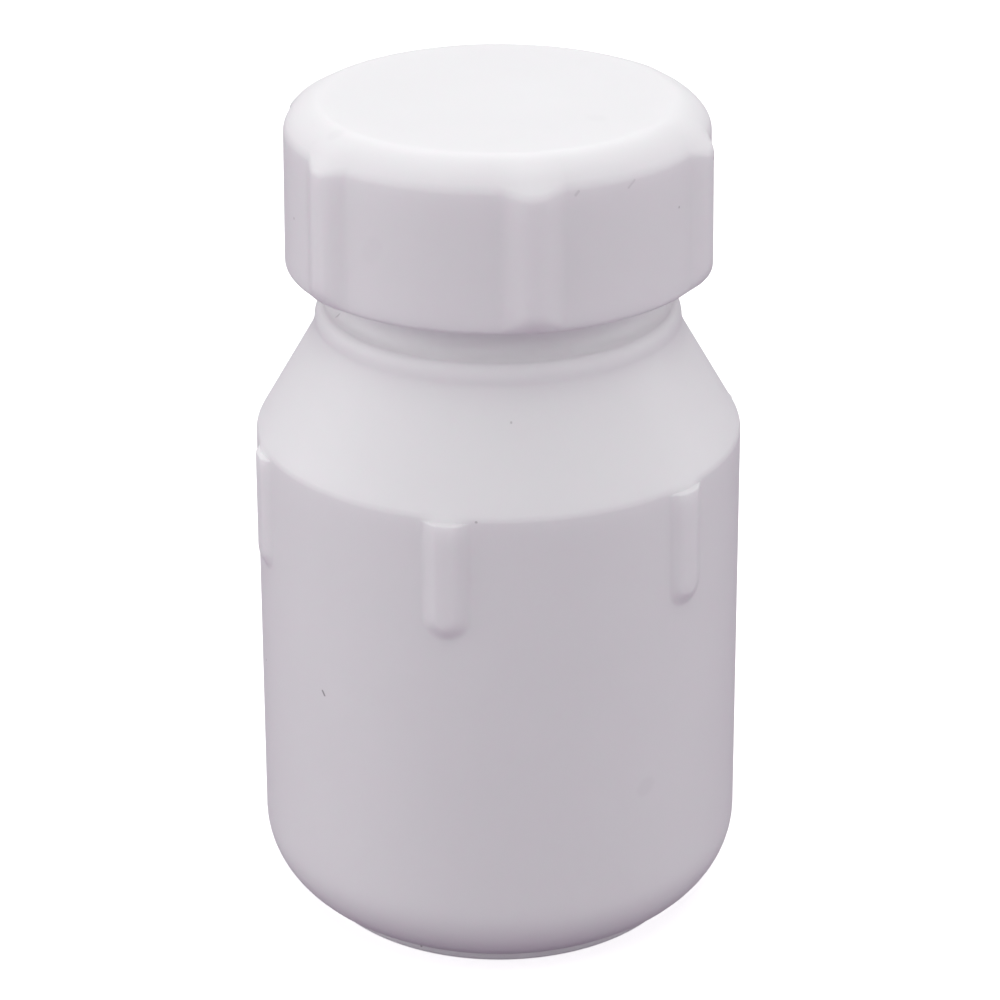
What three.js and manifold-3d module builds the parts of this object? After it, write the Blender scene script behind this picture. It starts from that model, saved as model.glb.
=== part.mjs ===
// A wide-mouth reagent bottle moulded in white PTFE, with a screw cap and a captive inner sealing lid.
// Millimetres, +Z up, -Y to the front. The origin is the centre of the foot, on the surface it stands on.
// Each piece is a solid of revolution about Z, and its ribs and thread are then joined to it.

import * as THREE from 'three';
import { mergeVertices } from 'three/addons/utils/BufferGeometryUtils.js';
import Module from 'manifold-3d';

const wasm = await Module();
wasm.setup();

// ---- Resolution ----
const SEGMENTS = 48; // flat sides in one full turn
const CORNER_STEPS = 3; // flat sides in one rounded corner
const HEEL_STEPS = 6; // flat sides in the heel's large rounding
const RIB_END_STEPS = 4; // flat sides in half of a rib's round end

// ---- Bottle body ----
const SHOULDER_RADIUS = 35;
const SHOULDER_HEIGHT = 74.5;
const SHOULDER_ROUNDING = 0.8;
const BODY_DRAFT = 0.01; // the body widens by this much for each millimetre down from the shoulder
const HEEL_HEIGHT = 12;
const HEEL_ROUNDING = 11.3;
const HEEL_RADIUS = SHOULDER_RADIUS + BODY_DRAFT * (SHOULDER_HEIGHT - HEEL_HEIGHT);
const FOOT_RADIUS = 28.5;
const FOOT_CHAMFER = 0.5;
const FOOT_RING_WIDTH = 5;
const FOOT_RECESS = 0.8;
const WALL = 4;
const BASE_THICKNESS = 4.5;
const INSIDE_HEEL_ROUNDING = 8;

// ---- Cone shoulder and the bead on top of it ----
const CONE_TOP_RADIUS = 26.2;
const CONE_TOP_HEIGHT = 89.7;
const CONE_SLOPE = (CONE_TOP_HEIGHT - SHOULDER_HEIGHT) / (SHOULDER_RADIUS - CONE_TOP_RADIUS);
const BEAD_TOP_HEIGHT = 93.2;
const BEAD_ROUNDING = 2.6;

// ---- Neck and mouth ----
const NECK_RADIUS = 23.1;
const MOUTH_RADIUS = 19.6;
const RIM_HEIGHT = 116.2;
const RIM_ROUNDING = 0.8;

// ---- Cap ----
const CAP_TOP = 123;
const CAP_BOTTOM = 99.3;
const CAP_TOP_RADIUS = 29.25;
const CAP_BOTTOM_RADIUS = 29.8;
const CAP_FACE_RADIUS = 26.6; // of the flat top, out to where its edge slopes down
const CAP_FACE_ROUNDING = 2.5; // between the flat top and the sloping edge
const CAP_SIDE_TOP = 120.3; // where the sloping edge meets the side
const CAP_EDGE_ROUNDING = 2.5; // between the sloping edge and the side
const CAP_BOTTOM_ROUNDING = 1.8;
const CAP_CEILING = 119;
const CAP_BORE_RADIUS = 24.95;
const CAP_ENTRY_CHAMFER = 1;

// ---- Right-handed thread on the neck and inside the cap ----
const PITCH = 5;
const THREAD_CREST_WIDTH = 1;
const THREAD_FLANK_SLOPE = 0.5; // a ridge widens by this much on each side for each millimetre to its root
const THREAD_BURIAL = 0.4; // how far a ridge reaches into the wall it stands on
const THREAD_END_DEPTH = 0.1; // how deep under that wall's surface the crest runs out at each end
const THREAD_FADE_TURNS = 0.12; // how much of a turn the crest takes to run out
const NECK_THREAD_CREST = 24.5;
const NECK_THREAD_LOW = 102.3;
const NECK_THREAD_TURNS = 2.25;
const CAP_THREAD_CREST = 23.55;
const CAP_THREAD_START = 0.35; // in turns past the start of the neck's ridge
const CAP_THREAD_TURNS = 1.75;
const CAP_THREAD_DROP = 1.85; // with the cap closed, its ridge lies this far under the neck's

// ---- Inner lid, and the bead in the cap that holds it ----
const FIT_GAP = 0.3; // between pieces that rest on each other
const LID_RADIUS = 24.2;
const LID_TOP = CAP_CEILING - FIT_GAP;
const LID_FLANGE_BOTTOM = RIM_HEIGHT + FIT_GAP;
const LID_THICKNESS = 1.8;
const LID_ROUNDING = 0.6;
const SPIGOT_RADIUS = 18.8;
const SPIGOT_WALL = 1.8;
const SPIGOT_BOTTOM = 109.4;
const SPIGOT_CHAMFER = 0.8;
const LIP_RADIUS = MOUTH_RADIUS - FIT_GAP;
const LIP_HEIGHTS = [111.8, 114.2];
const LIP_HALF_WIDTH = 0.8;
const RETAINER_RADIUS = 23.7;
const RETAINER_TOP = LID_FLANGE_BOTTOM - FIT_GAP;
const RETAINER_BEVEL = 0.5; // height of each of the bead's two slopes, and of the flat between them

// ---- Ribs, six on the body for the hand and six on the cap ----
const RIB_COUNT = 6;
const RIB_BURIAL = 2.5; // how far a rib reaches in under the surface it stands on
const BODY_RIB_ANGLE = THREE.MathUtils.degToRad(-12); // of the first rib, anticlockwise from the front
const BODY_RIB_HEIGHT = 1;
const BODY_RIB_WIDTH = 5.4;
const BODY_RIB_BOTTOM = 56;
const BODY_RIB_TOP = SHOULDER_HEIGHT - 0.6;
const CAP_RIB_ANGLE = THREE.MathUtils.degToRad(9);
const CAP_RIB_HEIGHT = 1.8;
const CAP_RIB_CREST_WIDTH = 4.6;
const CAP_RIB_FOOT_WIDTH = 8.6;
const CAP_RIB_TOP = 119.6;
const CAP_RIB_TOP_ROUNDING = 1.2;
const CAP_RIB_BOTTOM_ROUNDING = 3.2;

// ---- Outlines, as points (radius, height) ----

// The points of the arc that rounds one corner of an outline.
function cornerArc(before, corner, after, radius) {
  const toBefore = before.clone().sub(corner).normalize();
  const toAfter = after.clone().sub(corner).normalize();
  const halfAngle = toBefore.angleTo(toAfter) / 2;
  const bisector = toBefore.clone().add(toAfter);
  const centre = bisector.setLength(radius / Math.sin(halfAngle)).add(corner);
  const start = corner.clone().addScaledVector(toBefore, radius / Math.tan(halfAngle));
  const side = Math.sign(toAfter.cross(toBefore));
  const sweep = side * (Math.PI - 2 * halfAngle);
  const points = [];
  for (let step = 0; step <= CORNER_STEPS; step += 1) {
    points.push(start.clone().rotateAround(centre, (sweep * step) / CORNER_STEPS));
  }
  return points;
}

// An outline from its corners, each [radius, height] or [radius, height, rounding].
function roundedOutline(corners) {
  const places = corners.map(([radius, height]) => new THREE.Vector2(radius, height));
  return corners.flatMap(([, , rounding = 0], i) => {
    if (rounding === 0) return [places[i]];
    return cornerArc(places[i - 1], places[i], places[i + 1], rounding);
  });
}

// ---- Solids ----

// A manifold solid from a closed three.js geometry.
function solidFrom(geometry) {
  geometry.deleteAttribute('normal');
  geometry.deleteAttribute('uv');
  const merged = mergeVertices(geometry);
  const triangles = [];
  for (let i = 0; i < merged.index.count; i += 3) {
    const [a, b, c] = [0, 1, 2].map((corner) => merged.index.getX(i + corner));
    if (a !== b && b !== c && c !== a) triangles.push(a, b, c);
  }
  const mesh = new wasm.Mesh({
    numProp: 3,
    vertProperties: merged.attributes.position.array,
    triVerts: new Uint32Array(triangles),
  });
  return new wasm.Manifold(mesh);
}

// A solid of revolution from an outline that starts and ends on the axis, with its material on the left.
function revolved(outline) {
  return solidFrom(new THREE.LatheGeometry(outline, SEGMENTS).rotateX(Math.PI / 2));
}

// A closed solid through a row of sections with the same number of points each.
function sweptSolid(sections) {
  const size = sections[0].length;
  const last = (sections.length - 1) * size;
  const triangles = [];
  for (let row = 0; row < last; row += size) {
    for (let i = 0; i < size; i += 1) {
      const next = (i + 1) % size;
      triangles.push(row + i, row + size + next, row + next);
      triangles.push(row + i, row + size + i, row + size + next);
    }
  }
  for (let i = 1; i < size - 1; i += 1) {
    triangles.push(0, i, i + 1);
    triangles.push(last, last + i + 1, last + i);
  }
  const geometry = new THREE.BufferGeometry().setFromPoints(sections.flat());
  geometry.setIndex(triangles);
  return solidFrom(geometry);
}

// A helical ridge on a wall at rootRadius, standing out of it or into its bore as far as crestRadius.
// Its middle starts at the height low, startTurns round the axis, and its ends run out into the wall.
function threadRidge(rootRadius, crestRadius, low, startTurns, turns) {
  const intoWall = Math.sign(rootRadius - crestRadius);
  const buriedRadius = rootRadius + intoWall * THREAD_BURIAL;
  const endRadius = rootRadius + intoWall * THREAD_END_DEPTH;
  const crestHalf = THREAD_CREST_WIDTH / 2;
  const buriedHalf = crestHalf + Math.abs(buriedRadius - crestRadius) * THREAD_FLANK_SLOPE;
  const sections = [];
  for (let step = 0; step <= turns * SEGMENTS; step += 1) {
    const turned = step / SEGMENTS;
    const strength = Math.min(1, turned / THREAD_FADE_TURNS, (turns - turned) / THREAD_FADE_TURNS);
    const crest = { radius: THREE.MathUtils.lerp(endRadius, crestRadius, strength), half: crestHalf };
    const buried = { radius: buriedRadius, half: buriedHalf };
    const [inner, outer] = intoWall > 0 ? [crest, buried] : [buried, crest];
    const angle = 2 * Math.PI * (startTurns + turned);
    const middle = low + PITCH * turned;
    const corners = [
      [inner.radius, middle - inner.half],
      [outer.radius, middle - outer.half],
      [outer.radius, middle + outer.half],
      [inner.radius, middle + inner.half],
    ];
    const place = ([radius, z]) => new THREE.Vector3(radius * Math.cos(angle), radius * Math.sin(angle), z);
    sections.push(corners.map(place));
  }
  return sweptSolid(sections);
}

// Copies of a bar at the front, spaced evenly round the axis and trimmed to a shape of revolution.
function ribsRound(bar, firstAngle, envelope) {
  const bars = [];
  for (let i = 0; i < RIB_COUNT; i += 1) {
    bars.push(solidFrom(bar.clone().rotateZ(firstAngle + (2 * Math.PI * i) / RIB_COUNT)));
  }
  return bars.reduce((all, one) => all.add(one)).intersect(revolved(envelope));
}

// ---- Bottle ----

function bottleOutline() {
  const heelCentre = HEEL_RADIUS - HEEL_ROUNDING;
  const heelSweep = Math.acos((FOOT_RADIUS - heelCentre) / HEEL_ROUNDING);
  const heel = [];
  for (let step = HEEL_STEPS; step >= 0; step -= 1) {
    const angle = (heelSweep * step) / HEEL_STEPS;
    heel.push([heelCentre + HEEL_ROUNDING * Math.cos(angle), HEEL_HEIGHT - HEEL_ROUNDING * Math.sin(angle)]);
  }
  const insideRadius = SHOULDER_RADIUS - WALL;
  const insideShoulder = SHOULDER_HEIGHT + WALL * (CONE_SLOPE - Math.hypot(1, CONE_SLOPE));
  const insideConeTop = insideShoulder + (insideRadius - MOUTH_RADIUS) * CONE_SLOPE;
  return roundedOutline([
    [0, FOOT_RECESS],
    [FOOT_RADIUS - FOOT_RING_WIDTH - FOOT_RECESS, FOOT_RECESS],
    [FOOT_RADIUS - FOOT_RING_WIDTH, 0],
    [FOOT_RADIUS - FOOT_CHAMFER, 0],
    [FOOT_RADIUS, FOOT_CHAMFER],
    ...heel,
    [SHOULDER_RADIUS, SHOULDER_HEIGHT, SHOULDER_ROUNDING],
    [CONE_TOP_RADIUS, CONE_TOP_HEIGHT],
    [CONE_TOP_RADIUS, BEAD_TOP_HEIGHT, BEAD_ROUNDING],
    [NECK_RADIUS, BEAD_TOP_HEIGHT],
    [NECK_RADIUS, RIM_HEIGHT, RIM_ROUNDING],
    [MOUTH_RADIUS, RIM_HEIGHT, RIM_ROUNDING],
    [MOUTH_RADIUS, insideConeTop],
    [insideRadius, insideShoulder],
    [insideRadius, BASE_THICKNESS, INSIDE_HEEL_ROUNDING],
    [0, BASE_THICKNESS],
  ]);
}

// Upright bars with a half-round lower end. Their flat tops are small ledges under the shoulder's edge.
function bodyRibs() {
  const half = BODY_RIB_WIDTH / 2;
  const innerFace = SHOULDER_RADIUS - RIB_BURIAL;
  const outerFace = HEEL_RADIUS + BODY_RIB_HEIGHT;
  const face = new THREE.Shape();
  face.moveTo(half, SHOULDER_HEIGHT);
  face.lineTo(-half, SHOULDER_HEIGHT);
  face.lineTo(-half, BODY_RIB_BOTTOM + half);
  face.absarc(0, BODY_RIB_BOTTOM + half, half, Math.PI, 2 * Math.PI);
  face.closePath();
  const settings = { depth: outerFace - innerFace, bevelEnabled: false, curveSegments: 2 * RIB_END_STEPS };
  const bar = new THREE.ExtrudeGeometry(face, settings).rotateX(Math.PI / 2).translate(0, -innerFace, 0);
  const draftToBottom = BODY_DRAFT * (SHOULDER_HEIGHT - BODY_RIB_BOTTOM);
  return ribsRound(bar, BODY_RIB_ANGLE, roundedOutline([
    [0, BODY_RIB_BOTTOM - half],
    [SHOULDER_RADIUS + draftToBottom + BODY_RIB_HEIGHT, BODY_RIB_BOTTOM - half],
    [SHOULDER_RADIUS + BODY_RIB_HEIGHT, BODY_RIB_TOP],
    [0, BODY_RIB_TOP],
  ]));
}

function bottle() {
  const neckRidge = threadRidge(NECK_RADIUS, NECK_THREAD_CREST, NECK_THREAD_LOW, 0, NECK_THREAD_TURNS);
  return revolved(bottleOutline()).add(bodyRibs()).add(neckRidge);
}

// ---- Screw cap ----

function capOutline() {
  return roundedOutline([
    [0, CAP_CEILING],
    [CAP_BORE_RADIUS, CAP_CEILING],
    [CAP_BORE_RADIUS, RETAINER_TOP],
    [RETAINER_RADIUS, RETAINER_TOP - RETAINER_BEVEL],
    [RETAINER_RADIUS, RETAINER_TOP - 2 * RETAINER_BEVEL],
    [CAP_BORE_RADIUS, RETAINER_TOP - 3 * RETAINER_BEVEL],
    [CAP_BORE_RADIUS, CAP_BOTTOM + CAP_ENTRY_CHAMFER],
    [CAP_BORE_RADIUS + CAP_ENTRY_CHAMFER, CAP_BOTTOM],
    [CAP_BOTTOM_RADIUS, CAP_BOTTOM, CAP_BOTTOM_ROUNDING],
    [CAP_TOP_RADIUS, CAP_SIDE_TOP, CAP_EDGE_ROUNDING],
    [CAP_FACE_RADIUS, CAP_TOP, CAP_FACE_ROUNDING],
    [0, CAP_TOP],
  ]);
}

// Full-height bars with sloping sides. Their tops slope down from the flat top, and their feet are rounded.
function capRibs() {
  const crestHalf = CAP_RIB_CREST_WIDTH / 2;
  const footHalf = CAP_RIB_FOOT_WIDTH / 2;
  const innerFace = CAP_TOP_RADIUS - RIB_BURIAL;
  const crestFace = CAP_BOTTOM_RADIUS + CAP_RIB_HEIGHT;
  const plan = new THREE.Shape([
    new THREE.Vector2(-footHalf, -innerFace),
    new THREE.Vector2(-footHalf, -CAP_TOP_RADIUS),
    new THREE.Vector2(-crestHalf, -crestFace),
    new THREE.Vector2(crestHalf, -crestFace),
    new THREE.Vector2(footHalf, -CAP_TOP_RADIUS),
    new THREE.Vector2(footHalf, -innerFace),
  ]);
  const settings = { depth: CAP_TOP - CAP_BOTTOM, bevelEnabled: false };
  const bar = new THREE.ExtrudeGeometry(plan, settings).translate(0, 0, CAP_BOTTOM);
  return ribsRound(bar, CAP_RIB_ANGLE, roundedOutline([
    [0, CAP_BOTTOM],
    [CAP_BOTTOM_RADIUS + CAP_RIB_HEIGHT, CAP_BOTTOM, CAP_RIB_BOTTOM_ROUNDING],
    [CAP_TOP_RADIUS + CAP_RIB_HEIGHT, CAP_RIB_TOP, CAP_RIB_TOP_ROUNDING],
    [CAP_FACE_RADIUS, CAP_TOP],
    [0, CAP_TOP],
  ]));
}

function screwCap() {
  const low = NECK_THREAD_LOW - CAP_THREAD_DROP + PITCH * CAP_THREAD_START;
  const ridge = threadRidge(CAP_BORE_RADIUS, CAP_THREAD_CREST, low, CAP_THREAD_START, CAP_THREAD_TURNS);
  return revolved(capOutline()).add(capRibs()).add(ridge);
}

// ---- Inner lid ----

// A flange over the rim, and a hollow spigot in the mouth with sealing lips round it.
function innerLid() {
  const lips = LIP_HEIGHTS.flatMap((height) => [
    [SPIGOT_RADIUS, height - LIP_HALF_WIDTH],
    [LIP_RADIUS, height],
    [SPIGOT_RADIUS, height + LIP_HALF_WIDTH],
  ]);
  return revolved(roundedOutline([
    [0, LID_TOP - LID_THICKNESS],
    [SPIGOT_RADIUS - SPIGOT_WALL, LID_TOP - LID_THICKNESS],
    [SPIGOT_RADIUS - SPIGOT_WALL, SPIGOT_BOTTOM],
    [SPIGOT_RADIUS - SPIGOT_CHAMFER, SPIGOT_BOTTOM],
    [SPIGOT_RADIUS, SPIGOT_BOTTOM + SPIGOT_CHAMFER],
    ...lips,
    [SPIGOT_RADIUS, LID_FLANGE_BOTTOM],
    [LID_RADIUS, LID_FLANGE_BOTTOM],
    [LID_RADIUS, LID_TOP, LID_ROUNDING],
    [0, LID_TOP],
  ]));
}

// ---- The assembled bottle ----

const OPAQUE_PTFE = { color: 0xe9e6eb, roughness: 0.5, metalness: 0 };
const FINISHES = {
  bottle: OPAQUE_PTFE,
  screw_cap: { ...OPAQUE_PTFE, color: 0xedebee },
  inner_lid: { ...OPAQUE_PTFE, color: 0xf0eef1, roughness: 0.4 },
};

// A named mesh with its own material from a manifold solid.
function namedMesh(name, solid) {
  const { vertProperties, triVerts, numProp } = solid.getMesh();
  const geometry = new THREE.BufferGeometry();
  geometry.setAttribute('position', new THREE.BufferAttribute(vertProperties, numProp));
  geometry.setIndex(new THREE.BufferAttribute(triVerts, 1));
  geometry.computeVertexNormals();
  const mesh = new THREE.Mesh(geometry, new THREE.MeshStandardMaterial(FINISHES[name]));
  mesh.name = name;
  return mesh;
}

const reagentBottle = new THREE.Group();
reagentBottle.add(namedMesh('bottle', bottle()));
reagentBottle.add(namedMesh('screw_cap', screwCap()));
reagentBottle.add(namedMesh('inner_lid', innerLid()));

export default reagentBottle;
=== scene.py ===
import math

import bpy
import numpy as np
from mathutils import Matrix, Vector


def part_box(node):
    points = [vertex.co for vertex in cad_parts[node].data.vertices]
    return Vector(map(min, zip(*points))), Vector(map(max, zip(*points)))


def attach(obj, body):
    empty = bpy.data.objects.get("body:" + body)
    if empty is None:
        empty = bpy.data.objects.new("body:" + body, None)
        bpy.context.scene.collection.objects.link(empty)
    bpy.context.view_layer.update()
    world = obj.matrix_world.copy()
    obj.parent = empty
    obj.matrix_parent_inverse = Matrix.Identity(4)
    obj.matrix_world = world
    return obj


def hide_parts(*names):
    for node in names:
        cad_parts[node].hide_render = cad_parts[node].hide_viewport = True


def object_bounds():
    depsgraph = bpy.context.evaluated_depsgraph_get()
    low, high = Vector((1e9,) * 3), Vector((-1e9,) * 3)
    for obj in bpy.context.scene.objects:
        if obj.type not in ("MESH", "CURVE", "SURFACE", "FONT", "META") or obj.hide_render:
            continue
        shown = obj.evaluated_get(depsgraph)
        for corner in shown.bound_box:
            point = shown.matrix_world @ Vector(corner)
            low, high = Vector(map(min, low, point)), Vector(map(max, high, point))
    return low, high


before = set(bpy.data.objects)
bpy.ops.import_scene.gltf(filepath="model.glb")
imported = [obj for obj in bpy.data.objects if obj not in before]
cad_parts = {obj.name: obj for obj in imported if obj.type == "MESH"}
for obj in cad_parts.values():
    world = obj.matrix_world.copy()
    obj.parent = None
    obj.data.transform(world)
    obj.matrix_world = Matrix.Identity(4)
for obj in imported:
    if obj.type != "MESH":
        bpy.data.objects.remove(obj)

# A wide-mouth reagent bottle moulded in white PTFE, with its screw cap and its captive inner lid.
# Metres, +Z up, the front towards -Y. Angles are measured from the front, anticlockwise as seen from above.
# Each piece is a closed turned mesh: an outline of (radius, height) points for every angle, which its ribs
# and thread push out or in.

MM = 0.001
cad_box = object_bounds()

# ---- Sizes that the frame gives ----
BOTTLE_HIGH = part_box("bottle")[1]
CAP_LOW, CAP_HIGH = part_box("screw_cap")
LID_LOW, LID_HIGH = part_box("inner_lid")
HEEL_RADIUS = BOTTLE_HIGH.x
RIM_HEIGHT = BOTTLE_HIGH.z
CAP_TOP = CAP_HIGH.z
CAP_BOTTOM = CAP_LOW.z
LID_RADIUS = LID_HIGH.x
LID_TOP = LID_HIGH.z
SPIGOT_BOTTOM = LID_LOW.z
OBJECT_CENTRE = (cad_box[0] + cad_box[1]) / 2

# ---- Bottle, heights measured down from the rim ----
SHOULDER_RADIUS = HEEL_RADIUS - 0.625 * MM
SHOULDER_HEIGHT = RIM_HEIGHT - 41.7 * MM
SHOULDER_ROUNDING = 0.55 * MM
CONE_TOP_RADIUS = SHOULDER_RADIUS - 8.8 * MM
CONE_TOP_HEIGHT = RIM_HEIGHT - 26.5 * MM
CONE_SLOPE = (CONE_TOP_HEIGHT - SHOULDER_HEIGHT) / (SHOULDER_RADIUS - CONE_TOP_RADIUS)
CREASE_ON_CONE = 2.2 * MM
CREASE_ON_BEAD = 0.9 * MM
BEAD_TOP = RIM_HEIGHT - 23 * MM
BEAD_ROUNDING_DOWN = 2.4 * MM
BEAD_ROUNDING_IN = 1.3 * MM
NECK_FILLET_IN = 1.7 * MM
NECK_FILLET_UP = 2.7 * MM
NECK_RADIUS = LID_RADIUS - 1.1 * MM
MOUTH_RADIUS = NECK_RADIUS - 3.5 * MM
RIM_ROUNDING = 0.8 * MM
HEEL_HEIGHT = 12 * MM
HEEL_ROUNDING = 11.3 * MM
FOOT_RADIUS = HEEL_RADIUS - 7.125 * MM
FOOT_ROUNDING = 0.5 * MM
FOOT_RING_WIDTH = 5 * MM
FOOT_RECESS = 0.8 * MM
WALL = 4 * MM
BASE_THICKNESS = 4.5 * MM
INSIDE_HEEL_ROUNDING = 8 * MM
INSIDE_CREASE_ROUNDING = 2 * MM

# ---- Cap ----
CAP_BORE_RADIUS = LID_RADIUS + 0.75 * MM
CAP_BOTTOM_RADIUS = CAP_BORE_RADIUS + 5.15 * MM
CAP_TOP_RADIUS = CAP_BOTTOM_RADIUS - 0.35 * MM
CAP_FACE_RADIUS = CAP_TOP_RADIUS - 2.6 * MM  # of the flat top, out to where its edge slopes down
CAP_FACE_ROUNDING = 2.6 * MM
CAP_SLOPE_ROUNDING = 3.1 * MM
CAP_SIDE_TOP = CAP_TOP - 3.5 * MM
CAP_EDGE_ROUNDING = 0.8 * MM
CAP_BOTTOM_ROUNDING = 0.7 * MM
CAP_CEILING = LID_TOP + 0.3 * MM
CAP_ENTRY_ROUNDING = 1 * MM
RETAINER_RADIUS = LID_RADIUS - 0.5 * MM
RETAINER_TOP = RIM_HEIGHT
RETAINER_BEVEL = 0.5 * MM

# ---- Inner lid ----
LID_THICKNESS = 1.8 * MM
LID_ROUNDING = 0.6 * MM
FLANGE_BOTTOM = RIM_HEIGHT + 0.3 * MM
SPIGOT_RADIUS = MOUTH_RADIUS - 0.8 * MM
SPIGOT_WALL = 1.8 * MM
SPIGOT_ROUNDING = 0.8 * MM
LIP_RADIUS = MOUTH_RADIUS - 0.3 * MM
LIP_HEIGHTS = [SPIGOT_BOTTOM + 2.4 * MM, SPIGOT_BOTTOM + 4.8 * MM]
LIP_HALF_WIDTH = 0.8 * MM

# ---- Ribs, six on the body and six on the cap ----
RIB_COUNT = 6
BODY_RIB_ANGLE = math.radians(-12)
BODY_RIB_HEIGHT = 0.95 * MM
BODY_RIB_CREST = 2 * MM
BODY_RIB_FOOT = 7.2 * MM
BODY_RIB_BOTTOM = SHOULDER_HEIGHT - 18.7 * MM
BODY_RIB_TOP = SHOULDER_HEIGHT - 0.6 * MM
BODY_RIB_EDGE_ROUNDING = 0.35 * MM
BODY_RIB_EDGE_TURN = 0.45 * math.pi  # the sweep of the edge's arc, just short of a quarter turn
CAP_RIB_ANGLE = math.radians(9)
CAP_RIB_HEIGHT = 1.5 * MM
CAP_RIB_CREST = 1 * MM
CAP_RIB_FOOT = 9.6 * MM
CAP_RIB_DROP = 0.8 * MM  # from the top of the cap's side to a rib's
CAP_RIB_EDGE_ROUNDING = 0.7 * MM
CAP_RIB_BOTTOM_ROUNDING = 3.2 * MM

# ---- Right-handed thread on the neck and inside the cap ----
PITCH = 5 * MM
THREAD_CREST_HALF = 0.5 * MM
THREAD_FLANK_SLOPE = 0.5
THREAD_START = math.radians(90)
THREAD_FADE_TURNS = 0.12
THREAD_HEIGHT = 1.4 * MM
NECK_THREAD_LOW = RIM_HEIGHT - 13.9 * MM
NECK_THREAD_TURNS = 2.25
CAP_THREAD_LOW = NECK_THREAD_LOW - 0.1 * MM
CAP_THREAD_START = THREAD_START + math.radians(126)
CAP_THREAD_TURNS = 1.75

# ---- Rows of points in an outline, and stations round the axis ----
CORNER_STEPS = 8
HEEL_STEPS = 12
LEDGE_STEPS = 8
SUPPORT = 0.3 * MM  # from an arc's end to the next row on a long straight side beside it
WALL_ROWS = 24  # from the heel up to the body ribs
RIB_END_ROWS = 16  # over the round lower end of a body rib
RIB_SIDE_ROWS = 8  # over its straight sides
RIB_SIDE_ROWS_TOP = SHOULDER_HEIGHT - 4 * MM
THREAD_ROW = 0.2 * MM
NECK_ROWS_LOW = BEAD_TOP + 3 * MM
NECK_ROWS_TOP = RIM_HEIGHT - 1.2 * MM
BORE_ROWS_LOW = CAP_BOTTOM + 2 * MM
BORE_ROWS_TOP = RETAINER_TOP - 4 * RETAINER_BEVEL
WIDE_STATIONS = 12
RIB_STATIONS = 28
BODY_RIB_SPAN = math.radians(6.5)  # each side of a rib's middle, where the stations stand close together
CAP_RIB_SPAN = math.radians(9)
PLAIN_STATIONS = 180

# ---- PTFE ----
OUTER_COLOUR = (0.9, 0.889, 0.901)  # of the bottle and the cap
LID_COLOUR = (0.91, 0.9, 0.911)
DARK_TINT = 0.985
LIGHT_TINT = 1.015
MOTTLE_SCALE = 70
MOTTLE_DETAIL = 4
GRAIN_SCALE = 2500
GRAIN_DETAIL = 3
GRAIN_STRENGTH = 0.15
GRAIN_DEPTH = 0.02 * MM
PTFE_ROUGHNESS = 0.42
PTFE_REFRACTION = 1.35
SCATTER_WEIGHT = 0.85
SCATTER_COLOUR = (1, 0.9, 0.95)
SCATTER_DEPTH = 4 * MM

# ---- Camera and studio ----
CAMERA_ELEVATION = math.radians(24.9)
CAMERA_DISTANCE = 0.455
CAMERA_ROLL = math.radians(-0.2)
CAMERA_AIM = OBJECT_CENTRE + Vector((0.18 * MM, 0, -0.16 * MM))
FOCAL_LENGTH = 111.6
SENSOR_WIDTH = 36
FLOOR_RADIUS = 3
FLOOR_SIDES = 96
SOFTBOXES = [  # (name, place, size, radiance)
    ("overhead", (0, -0.1, 2), 2, 0.4),
    ("top_front", (0, -1.5, 1.7), 1.2, 0.5),
    ("top_back", (0, 1.5, 1.5), 1.2, 2.1),
    ("front", (0, -2.2, 0.6), 0.5, 4.3),
    ("front_left", (-1.7, -0.9, 0.7), 1, 1.5),
    ("left", (-2, 0.2, 0.6), 1, 2.35),
    ("front_right", (1.7, -0.9, 0.7), 1, 0.85),
    ("right", (2, 0.3, 0.6), 1, 1.85),
]


def smooth_step(value, low, high):
    """0 below low, 1 above high, and a smooth rise between them."""
    share = min(1, max(0, (value - low) / (high - low)))
    return share * share * (3 - 2 * share)


def between(low, high, share):
    """The value this share of the way from low to high."""
    return low + (high - low) * share


# ---- Outlines ----

def corner_arc(before, corner, after, cut_before, cut_after):
    """The points of an elliptical arc that rounds a corner.

    It starts cut_before away from the corner and ends cut_after past it.
    """
    to_start = (before - corner).normalized() * cut_before
    to_end = (after - corner).normalized() * cut_after
    points = []
    for turned in np.linspace(0, math.pi / 2, CORNER_STEPS + 1):
        points.append(corner + to_start * (1 - math.sin(turned)) + to_end * (1 - math.cos(turned)))
    return points


def outline(corners):
    """The points of an outline from its corners, each (radius, height) or (radius, height, cut, other cut).

    A cut is how much of the side before or after the corner its rounding takes away.
    """
    places = [Vector(corner[:2]) for corner in corners]
    cuts = [corner[2:] or (0,) for corner in corners]
    points = []
    for i, place in enumerate(places):
        if cuts[i] == (0,):
            points.append(place)
            continue
        before, after = places[i - 1], places[i + 1]
        spare_before = (place - before).length - cuts[i][0] - cuts[i - 1][-1]
        spare_after = (after - place).length - cuts[i][-1] - cuts[i + 1][0]
        arc = corner_arc(before, place, after, cuts[i][0], cuts[i][-1])
        points.append(arc[0] + (before - place).normalized() * min(SUPPORT, spare_before / 3))
        points.extend(arc)
        points.append(arc[-1] + (after - place).normalized() * min(SUPPORT, spare_after / 3))
    return points


# ---- Ribs and thread ----

def offset_from_rib(angle, first_rib, radius):
    """How far round a surface the nearest rib's middle is, in metres."""
    spacing = 2 * math.pi / RIB_COUNT
    return abs((angle - first_rib + spacing / 2) % spacing - spacing / 2) * radius


def body_rib(angle, height):
    """How much of its full height a body rib has at this place, 0 between the ribs."""
    across = offset_from_rib(angle, BODY_RIB_ANGLE, SHOULDER_RADIUS)
    end_centre = BODY_RIB_BOTTOM + BODY_RIB_FOOT / 2
    away = math.hypot(across, min(0, height - end_centre))
    return 1 - smooth_step(away, BODY_RIB_CREST / 2, BODY_RIB_FOOT / 2)


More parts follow.
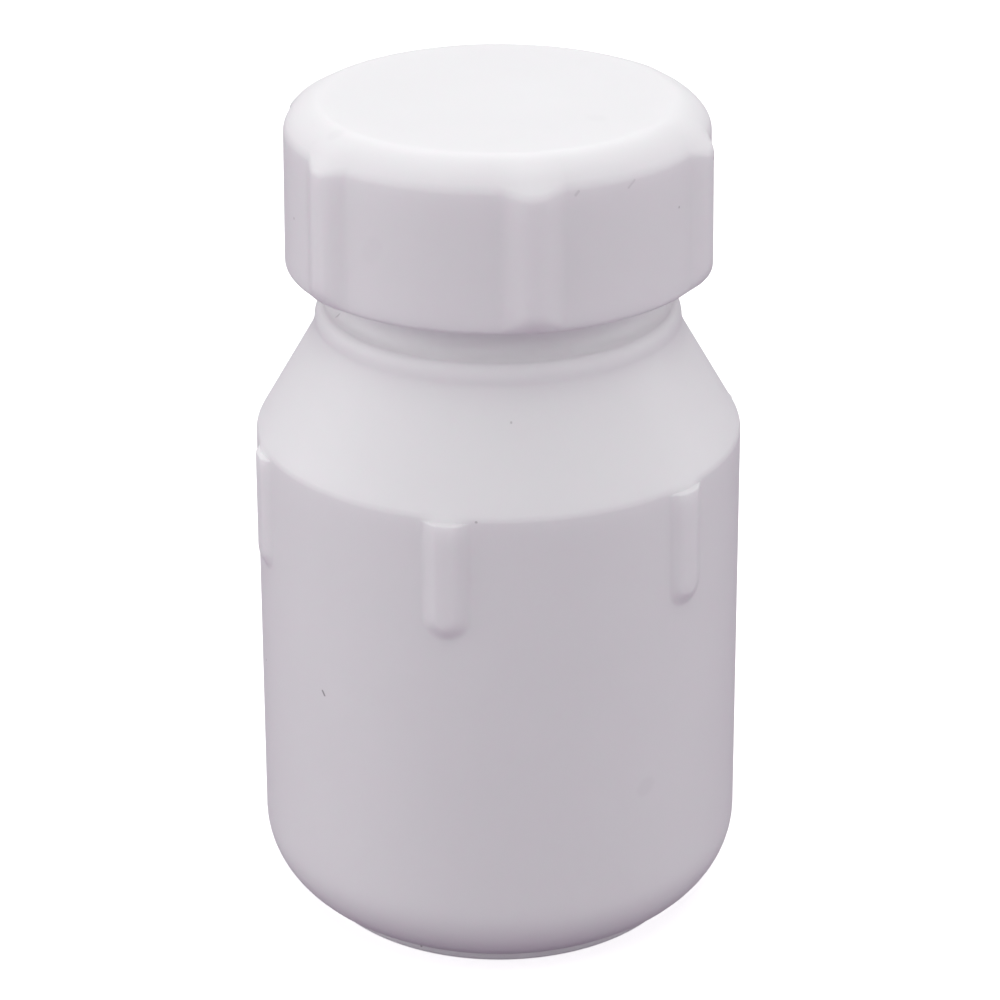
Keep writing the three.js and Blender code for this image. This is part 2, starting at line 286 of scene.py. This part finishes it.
def cap_rib(angle):
    """How much of its full height a cap rib has at this angle, 0 between the ribs."""
    across = offset_from_rib(angle, CAP_RIB_ANGLE, CAP_TOP_RADIUS)
    return 1 - smooth_step(across, CAP_RIB_CREST / 2, CAP_RIB_FOOT / 2)


def thread(angle, height, start, low, turns):
    """How much of its full height a helical ridge has at this place."""
    first_turn = ((angle - start) / (2 * math.pi)) % 1
    best = 0
    for lap in range(math.ceil(turns)):
        turned = first_turn + lap
        fade = smooth_step(min(turned, turns - turned), 0, THREAD_FADE_TURNS)
        away = abs(height - low - PITCH * turned)
        root_half = THREAD_CREST_HALF + THREAD_HEIGHT * THREAD_FLANK_SLOPE
        best = max(best, fade * (1 - smooth_step(away, THREAD_CREST_HALF, root_half)))
    return best


# ---- Turned meshes ----

def rib_stations(first_rib, half_span):
    """Angles all the way round, close together across the ribs and wider apart between them."""
    spacing = 2 * math.pi / RIB_COUNT
    sector = np.concatenate([
        np.linspace(-spacing / 2, -half_span, WIDE_STATIONS, endpoint=False),
        np.linspace(-half_span, half_span, RIB_STATIONS, endpoint=False),
        np.linspace(half_span, spacing / 2, WIDE_STATIONS, endpoint=False),
    ])
    return np.concatenate([first_rib + spacing * rib + sector for rib in range(RIB_COUNT)])


def turned_mesh(name, angles, section):
    """A closed mesh whose half section at each angle is section(angle), a row of (radius, height) points.

    The row starts and ends on the axis, with the material on its left.
    """
    cuts = np.array([section(angle) for angle in angles])
    count, rows = cuts.shape[0], cuts.shape[1] - 2
    radius, height = cuts[:, 1:-1, 0], cuts[:, 1:-1, 1]
    turned = np.array(angles)[:, None]
    ring = np.stack([radius * np.sin(turned), -radius * np.cos(turned), height], axis=-1)
    first_pole, last_pole = count * rows, count * rows + 1
    poles = [(0, 0, cuts[0, 0, 1]), (0, 0, cuts[0, -1, 1])]
    faces = []
    for i in range(count):
        here, there = i * rows, (i + 1) % count * rows
        faces.append((first_pole, there, here))
        for row in range(rows - 1):
            faces.append((here + row, there + row, there + row + 1, here + row + 1))
        faces.append((here + rows - 1, there + rows - 1, last_pole))
    mesh = bpy.data.meshes.new(name)
    mesh.from_pydata(np.concatenate([ring.reshape(-1, 3), poles]).tolist(), [], faces)
    mesh.shade_smooth()
    mesh.validate()
    return mesh


def add_piece(name, mesh, node, body, material):
    """Shows the mesh in place of a CAD node, riding on its body."""
    piece = bpy.data.objects.new(name, mesh)
    bpy.context.scene.collection.objects.link(piece)
    mesh.materials.append(material)
    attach(piece, body)
    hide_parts(node)


# ---- The three pieces ----

def heel_and_wall(angle):
    """The foot's side, the heel's arc and the wall with its rib, up to just under the shoulder."""
    centre_radius = HEEL_RADIUS - HEEL_ROUNDING
    sweep = math.acos((FOOT_RADIUS - centre_radius) / HEEL_ROUNDING)
    points = []
    for turned in np.linspace(sweep, 0, HEEL_STEPS + 1):
        points.append((centre_radius + HEEL_ROUNDING * math.cos(turned),
                       HEEL_HEIGHT - HEEL_ROUNDING * math.sin(turned)))
    draft = (HEEL_RADIUS - SHOULDER_RADIUS) / (SHOULDER_HEIGHT - HEEL_HEIGHT)
    plain_heights = np.linspace(HEEL_HEIGHT, BODY_RIB_BOTTOM, WALL_ROWS)[1:-1]
    end_top = BODY_RIB_BOTTOM + BODY_RIB_FOOT / 2
    end_heights = np.linspace(BODY_RIB_BOTTOM, end_top, RIB_END_ROWS)
    side_heights = np.linspace(end_top, RIB_SIDE_ROWS_TOP, RIB_SIDE_ROWS)[1:]
    for height in np.concatenate([plain_heights, end_heights, side_heights]):
        wall = SHOULDER_RADIUS + draft * (SHOULDER_HEIGHT - height)
        points.append((wall + BODY_RIB_HEIGHT * body_rib(angle, height), height))
    return points


def rib_ledge(angle):
    """The small rounded ledge that tops a body rib, and plain wall between the ribs."""
    ledge = BODY_RIB_HEIGHT * body_rib(angle, BODY_RIB_TOP)
    points = []
    for turned in np.linspace(0, BODY_RIB_EDGE_TURN, LEDGE_STEPS):
        points.append((SHOULDER_RADIUS + ledge * math.cos(turned),
                       BODY_RIB_TOP - BODY_RIB_EDGE_ROUNDING * (1 - math.sin(turned))))
    return points


def bottle_section(angle):
    """The bottle's outline, up its outside from the middle of the base and down its inside."""
    neck = []
    for height in np.arange(NECK_ROWS_LOW, NECK_ROWS_TOP, THREAD_ROW):
        ridge = thread(angle, height, THREAD_START, NECK_THREAD_LOW, NECK_THREAD_TURNS)
        neck.append((NECK_RADIUS + THREAD_HEIGHT * ridge, height))
    inside_radius = SHOULDER_RADIUS - WALL
    inside_shoulder = SHOULDER_HEIGHT + WALL * (CONE_SLOPE - math.hypot(1, CONE_SLOPE))
    inside_cone_top = inside_shoulder + (inside_radius - MOUTH_RADIUS) * CONE_SLOPE
    return outline([
        (0, FOOT_RECESS),
        (FOOT_RADIUS - FOOT_RING_WIDTH - FOOT_RECESS, FOOT_RECESS, FOOT_ROUNDING),
        (FOOT_RADIUS - FOOT_RING_WIDTH, 0, FOOT_ROUNDING),
        (FOOT_RADIUS, 0, FOOT_ROUNDING),
        *heel_and_wall(angle),
        *rib_ledge(angle),
        (SHOULDER_RADIUS, SHOULDER_HEIGHT, SHOULDER_ROUNDING),
        (CONE_TOP_RADIUS, CONE_TOP_HEIGHT, CREASE_ON_CONE, CREASE_ON_BEAD),
        (CONE_TOP_RADIUS, BEAD_TOP, BEAD_ROUNDING_DOWN, BEAD_ROUNDING_IN),
        (NECK_RADIUS, BEAD_TOP, NECK_FILLET_IN, NECK_FILLET_UP),
        *neck,
        (NECK_RADIUS, RIM_HEIGHT, RIM_ROUNDING),
        (MOUTH_RADIUS, RIM_HEIGHT, RIM_ROUNDING),
        (MOUTH_RADIUS, inside_cone_top, INSIDE_CREASE_ROUNDING),
        (inside_radius, inside_shoulder, INSIDE_CREASE_ROUNDING),
        (inside_radius, BASE_THICKNESS, INSIDE_HEEL_ROUNDING),
        (0, BASE_THICKNESS),
    ])


def cap_section(angle):
    """The cap's outline, down its bore from the middle of the ceiling and up its outside."""
    rib = cap_rib(angle)
    rib_out = CAP_RIB_HEIGHT * rib
    edge_rounding = between(CAP_EDGE_ROUNDING, CAP_RIB_EDGE_ROUNDING, rib)
    bottom_rounding = between(CAP_BOTTOM_ROUNDING, CAP_RIB_BOTTOM_ROUNDING, rib)
    bore = []
    for height in np.arange(BORE_ROWS_LOW, BORE_ROWS_TOP, THREAD_ROW):
        ridge = thread(angle, height, CAP_THREAD_START, CAP_THREAD_LOW, CAP_THREAD_TURNS)
        bore.append((CAP_BORE_RADIUS - THREAD_HEIGHT * ridge, height))
    return outline([
        (0, CAP_CEILING),
        (CAP_BORE_RADIUS, CAP_CEILING, RETAINER_BEVEL),
        (CAP_BORE_RADIUS, RETAINER_TOP),
        (RETAINER_RADIUS, RETAINER_TOP - RETAINER_BEVEL),
        (RETAINER_RADIUS, RETAINER_TOP - 2 * RETAINER_BEVEL),
        (CAP_BORE_RADIUS, RETAINER_TOP - 3 * RETAINER_BEVEL),
        *reversed(bore),
        (CAP_BORE_RADIUS, CAP_BOTTOM, CAP_ENTRY_ROUNDING),
        (CAP_BOTTOM_RADIUS + rib_out, CAP_BOTTOM, CAP_BOTTOM_ROUNDING + rib_out, bottom_rounding),
        (CAP_TOP_RADIUS + rib_out, CAP_SIDE_TOP - CAP_RIB_DROP * rib, edge_rounding),
        (CAP_FACE_RADIUS, CAP_TOP, CAP_SLOPE_ROUNDING, CAP_FACE_ROUNDING),
        (0, CAP_TOP),
    ])


def lid_section(_angle):
    """The inner lid's outline, down inside its spigot and up outside. It is the same at every angle."""
    lips = []
    for height in LIP_HEIGHTS:
        lips.append((SPIGOT_RADIUS, height - LIP_HALF_WIDTH))
        lips.append((LIP_RADIUS, height, LIP_HALF_WIDTH / 3))
        lips.append((SPIGOT_RADIUS, height + LIP_HALF_WIDTH))
    return outline([
        (0, LID_TOP - LID_THICKNESS),
        (SPIGOT_RADIUS - SPIGOT_WALL, LID_TOP - LID_THICKNESS, LID_ROUNDING),
        (SPIGOT_RADIUS - SPIGOT_WALL, SPIGOT_BOTTOM, LID_ROUNDING / 2),
        (SPIGOT_RADIUS, SPIGOT_BOTTOM, SPIGOT_ROUNDING),
        *lips,
        (SPIGOT_RADIUS, FLANGE_BOTTOM, LID_ROUNDING / 2),
        (LID_RADIUS, FLANGE_BOTTOM, LID_ROUNDING / 2),
        (LID_RADIUS, LID_TOP, LID_ROUNDING),
        (0, LID_TOP),
    ])


# ---- Small marks of use: (angle, height, length, lean, half width, darkness), angles in degrees ----
# Lean is how far a scratch leans from level, and a speck is a scratch with no length.
MARK_RADIUS = CAP_TOP_RADIUS  # of the cylinder that the marks' places are measured round
MARK_COLOUR = (0.12, 0.09, 0.11)
MARK_CORE = 0.4  # the share of a mark's radius in which it is at its darkest
MARK_REACH = 2  # half widths from a mark's middle line to where it has faded away
CAP_MARKS = [
    (20.5, CAP_SIDE_TOP - 1 * MM, 0.6 * MM, 50, 0.14 * MM, 0.15),
    (36.5, CAP_SIDE_TOP - 1.1 * MM, 1.3 * MM, 40, 0.12 * MM, 0.13),
    (70.5, CAP_SIDE_TOP - 1.8 * MM, 0.8 * MM, 70, 0.15 * MM, 0.45),
    (55, CAP_SIDE_TOP - 6.8 * MM, 0, 0, 0.12 * MM, 0.4),
    (72, CAP_SIDE_TOP - 12 * MM, 0, 0, 0.2 * MM, 0.6),
    (-69, CAP_SIDE_TOP - 10.5 * MM, 0, 0, 0.13 * MM, 0.4),
    (-34, CAP_SIDE_TOP - 10 * MM, 1.5 * MM, 60, 0.9 * MM, 0.02),
]
BOTTLE_MARKS = [
    (-70, BEAD_TOP + 0.5 * MM, 0.4 * MM, 60, 0.1 * MM, 0.4),
    (-5, SHOULDER_HEIGHT - 0.3 * MM, 0, 0, 0.12 * MM, 0.35),
    (3.5, SHOULDER_HEIGHT + 11.5 * MM, 0, 0, 0.11 * MM, 0.3),
    (-45, SHOULDER_HEIGHT - 31.7 * MM, 0.7 * MM, -60, 0.1 * MM, 0.6),
    (-76, SHOULDER_HEIGHT - 35 * MM, 0, 0, 0.12 * MM, 0.4),
    (36, SHOULDER_HEIGHT - 45 * MM, 0.7 * MM, 60, 0.8 * MM, 0.035),
    (-24, 1.5 * MM, 1 * MM, 85, 0.12 * MM, 0.5),
]
CAP_SPOTS = [  # (x, y, radius, darkness)
    (-21.6 * MM, -15.2 * MM, 1.6 * MM, 0.035),
    (13.5 * MM, -10 * MM, 1.9 * MM, 0.02),
]


# ---- Materials ----

def calculate(tree, operation, *values):
    """A Math node's output. Each value is a number or another node's output."""
    node = tree.nodes.new("ShaderNodeMath")
    node.operation = operation
    for socket, value in zip(node.inputs, values):
        if isinstance(value, bpy.types.NodeSocket):
            tree.links.new(value, socket)
        else:
            socket.default_value = value
    return node.outputs["Value"]


def calculate_length(tree, across, up):
    """The length of the longest side of a right-angled triangle, from its two other sides."""
    squares = [calculate(tree, "MULTIPLY", side, side) for side in (across, up)]
    return calculate(tree, "SQRT", calculate(tree, "ADD", *squares))


def fall_off(tree, distance, radius, strength):
    """This strength near a mark's middle, falling smoothly to 0 at the radius."""
    node = tree.nodes.new("ShaderNodeMapRange")
    node.interpolation_type = "SMOOTHSTEP"
    tree.links.new(distance, node.inputs["Value"])
    node.inputs["From Min"].default_value = MARK_CORE * radius
    node.inputs["From Max"].default_value = radius
    node.inputs["To Min"].default_value = strength
    node.inputs["To Max"].default_value = 0
    return node.outputs["Result"]


def distance_from_line(tree, round_it, height, angle, level, length, lean):
    """How far each place on the unrolled surface is from a mark's middle line."""
    across, up = math.cos(math.radians(lean)), math.sin(math.radians(lean))
    from_middle = calculate(tree, "SUBTRACT", round_it, math.radians(angle) * MARK_RADIUS)
    from_level = calculate(tree, "SUBTRACT", height, level)
    along = calculate(tree, "ADD", calculate(tree, "MULTIPLY", from_middle, across),
                      calculate(tree, "MULTIPLY", from_level, up))
    beside = calculate(tree, "SUBTRACT", calculate(tree, "MULTIPLY", from_level, across),
                       calculate(tree, "MULTIPLY", from_middle, up))
    from_end = calculate(tree, "SUBTRACT", calculate(tree, "ABSOLUTE", along), length / 2)
    return calculate_length(tree, calculate(tree, "MAXIMUM", from_end, 0), beside)


def darkness_of_marks(tree, place, marks, spots):
    """How dark the scratches and specks round the side, and the spots on the top, are at each place."""
    split = tree.nodes.new("ShaderNodeSeparateXYZ")
    tree.links.new(place, split.inputs["Vector"])
    x, y, height = split.outputs
    turned = calculate(tree, "ARCTAN2", x, calculate(tree, "MULTIPLY", y, -1))
    round_it = calculate(tree, "MULTIPLY", turned, MARK_RADIUS)
    total = 0
    for angle, level, length, lean, half_width, darkness in marks:
        distance = distance_from_line(tree, round_it, height, angle, level, length, lean)
        mark = fall_off(tree, distance, MARK_REACH * half_width, darkness)
        total = calculate(tree, "MAXIMUM", total, mark)
    for spot_x, spot_y, radius, darkness in spots:
        from_x = calculate(tree, "SUBTRACT", x, spot_x)
        from_y = calculate(tree, "SUBTRACT", y, spot_y)
        spot = fall_off(tree, calculate_length(tree, from_x, from_y), radius, darkness)
        total = calculate(tree, "MAXIMUM", total, spot)
    return total


def ptfe(name, colour, marks=(), spots=()):
    """Satin white PTFE: faintly mottled and grained, with a little light passing under its surface."""
    material = bpy.data.materials.new(name)
    material.use_nodes = True
    nodes, links = material.node_tree.nodes, material.node_tree.links
    shader = nodes["Principled BSDF"]
    place = nodes.new("ShaderNodeTexCoord")
    mottle = nodes.new("ShaderNodeTexNoise")
    mottle.inputs["Scale"].default_value = MOTTLE_SCALE
    mottle.inputs["Detail"].default_value = MOTTLE_DETAIL
    links.new(place.outputs["Object"], mottle.inputs["Vector"])
    tint = nodes.new("ShaderNodeMix")
    tint.data_type = "RGBA"
    tint.inputs["A"].default_value = (*[channel * DARK_TINT for channel in colour], 1)
    tint.inputs["B"].default_value = (*[channel * LIGHT_TINT for channel in colour], 1)
    links.new(mottle.outputs["Fac"], tint.inputs["Factor"])
    links.new(tint.outputs["Result"], shader.inputs["Base Color"])
    if marks:
        marked = nodes.new("ShaderNodeMix")
        marked.data_type = "RGBA"
        marked.inputs["B"].default_value = (*MARK_COLOUR, 1)
        darkness = darkness_of_marks(material.node_tree, place.outputs["Object"], marks, spots)
        links.new(tint.outputs["Result"], marked.inputs["A"])
        links.new(darkness, marked.inputs["Factor"])
        links.new(marked.outputs["Result"], shader.inputs["Base Color"])
    grain = nodes.new("ShaderNodeTexNoise")
    grain.inputs["Scale"].default_value = GRAIN_SCALE
    grain.inputs["Detail"].default_value = GRAIN_DETAIL
    links.new(place.outputs["Object"], grain.inputs["Vector"])
    bump = nodes.new("ShaderNodeBump")
    bump.inputs["Strength"].default_value = GRAIN_STRENGTH
    bump.inputs["Distance"].default_value = GRAIN_DEPTH
    links.new(grain.outputs["Fac"], bump.inputs["Height"])
    links.new(bump.outputs["Normal"], shader.inputs["Normal"])
    shader.inputs["Roughness"].default_value = PTFE_ROUGHNESS
    shader.inputs["IOR"].default_value = PTFE_REFRACTION
    shader.inputs["Subsurface Weight"].default_value = SCATTER_WEIGHT
    shader.inputs["Subsurface Radius"].default_value = SCATTER_COLOUR
    shader.inputs["Subsurface Scale"].default_value = SCATTER_DEPTH
    return material


def glowing_matt(tree, colour, glow):
    """A matt surface that also gives off a little light of its own."""
    matt = tree.nodes.new("ShaderNodeBsdfDiffuse")
    matt.inputs["Color"].default_value = (*colour, 1)
    shine = tree.nodes.new("ShaderNodeEmission")
    shine.inputs["Color"].default_value = (*glow, 1)
    both = tree.nodes.new("ShaderNodeAddShader")
    tree.links.new(matt.outputs["BSDF"], both.inputs[0])
    tree.links.new(shine.outputs["Emission"], both.inputs[1])
    return both.outputs["Shader"]


def floor_material(bounce, bounce_glow, seen, seen_glow):
    """A pale floor that glows to the camera, so that only a soft contact shadow shows on it.

    What lights the object from below is a duller floor with a fainter glow.
    """
    material = bpy.data.materials.new("floor")
    material.use_nodes = True
    tree = material.node_tree
    tree.nodes.remove(tree.nodes["Principled BSDF"])
    rays = tree.nodes.new("ShaderNodeLightPath")
    chosen = tree.nodes.new("ShaderNodeMixShader")
    tree.links.new(rays.outputs["Is Camera Ray"], chosen.inputs["Fac"])
    tree.links.new(glowing_matt(tree, bounce, bounce_glow), chosen.inputs[1])
    tree.links.new(glowing_matt(tree, seen, seen_glow), chosen.inputs[2])
    tree.links.new(chosen.outputs["Shader"], tree.nodes["Material Output"].inputs["Surface"])
    return material


# ---- Studio ----

def add_floor(material):
    """A round floor under the object."""
    bpy.ops.mesh.primitive_circle_add(vertices=FLOOR_SIDES, radius=FLOOR_RADIUS, fill_type="NGON")
    floor = bpy.context.object
    floor.name = "floor"
    floor.data.materials.append(material)


def add_softbox(name, place, size, radiance):
    """A square soft light of this radiance, which faces the object."""
    light = bpy.data.lights.new(name, "AREA")
    light.shape = "SQUARE"
    light.size = size
    light.energy = radiance * math.pi * size ** 2
    lamp = bpy.data.objects.new(name, light)
    lamp.location = place
    lamp.rotation_euler = (OBJECT_CENTRE - lamp.location).to_track_quat("-Z", "Y").to_euler()
    bpy.context.scene.collection.objects.link(lamp)


def add_camera():
    """The camera, in front of the object and above it."""
    back = Vector((0, -math.cos(CAMERA_ELEVATION), math.sin(CAMERA_ELEVATION)))
    camera = bpy.data.objects.new("camera", bpy.data.cameras.new("camera"))
    camera.data.sensor_width = SENSOR_WIDTH
    camera.data.lens = FOCAL_LENGTH
    camera.location = CAMERA_AIM + back * CAMERA_DISTANCE
    camera.rotation_euler = (-back).to_track_quat("-Z", "Y").to_euler()
    camera.rotation_euler.rotate_axis("Z", CAMERA_ROLL)
    bpy.context.scene.collection.objects.link(camera)
    bpy.context.scene.camera = camera


def set_world(fill, backdrop):
    """A fill light from all round, in place of which the camera sees a pale backdrop."""
    world = bpy.data.worlds.new("studio")
    world.use_nodes = True
    bpy.context.scene.world = world
    nodes, links = world.node_tree.nodes, world.node_tree.links
    rays = nodes.new("ShaderNodeLightPath")
    mix = nodes.new("ShaderNodeMixShader")
    seen = nodes.new("ShaderNodeBackground")
    nodes["Background"].inputs["Color"].default_value = (*fill, 1)
    seen.inputs["Color"].default_value = (*backdrop, 1)
    links.new(rays.outputs["Is Camera Ray"], mix.inputs["Fac"])
    links.new(nodes["Background"].outputs["Background"], mix.inputs[1])
    links.new(seen.outputs["Background"], mix.inputs[2])
    links.new(mix.outputs["Shader"], nodes["World Output"].inputs["Surface"])


add_camera()
body_stations = rib_stations(BODY_RIB_ANGLE, BODY_RIB_SPAN)
cap_stations = rib_stations(CAP_RIB_ANGLE, CAP_RIB_SPAN)
plain_stations = np.linspace(0, 2 * math.pi, PLAIN_STATIONS, endpoint=False)
add_piece("bottle_moulding", turned_mesh("bottle_moulding", body_stations, bottle_section),
          "bottle", "bottle", ptfe("ptfe_bottle", OUTER_COLOUR, BOTTLE_MARKS))
add_piece("cap_moulding", turned_mesh("cap_moulding", cap_stations, cap_section),
          "screw_cap", "screw_cap", ptfe("ptfe_cap", OUTER_COLOUR, CAP_MARKS, CAP_SPOTS))
add_piece("lid_moulding", turned_mesh("lid_moulding", plain_stations, lid_section),
          "inner_lid", "inner_lid", ptfe("ptfe_inner_lid", LID_COLOUR))

add_floor(floor_material(bounce=(0.12, 0.08, 0.125), bounce_glow=(0.085, 0.063, 0.09),
                         seen=(0.9, 0.9, 0.9), seen_glow=(0.6, 0.6, 0.6)))
for name, place, size, radiance in SOFTBOXES:
    add_softbox(name, place, size, radiance)
set_world(fill=(0.57, 0.565, 0.58), backdrop=(1, 1, 1))
bpy.context.scene.view_settings.view_transform = "Standard"
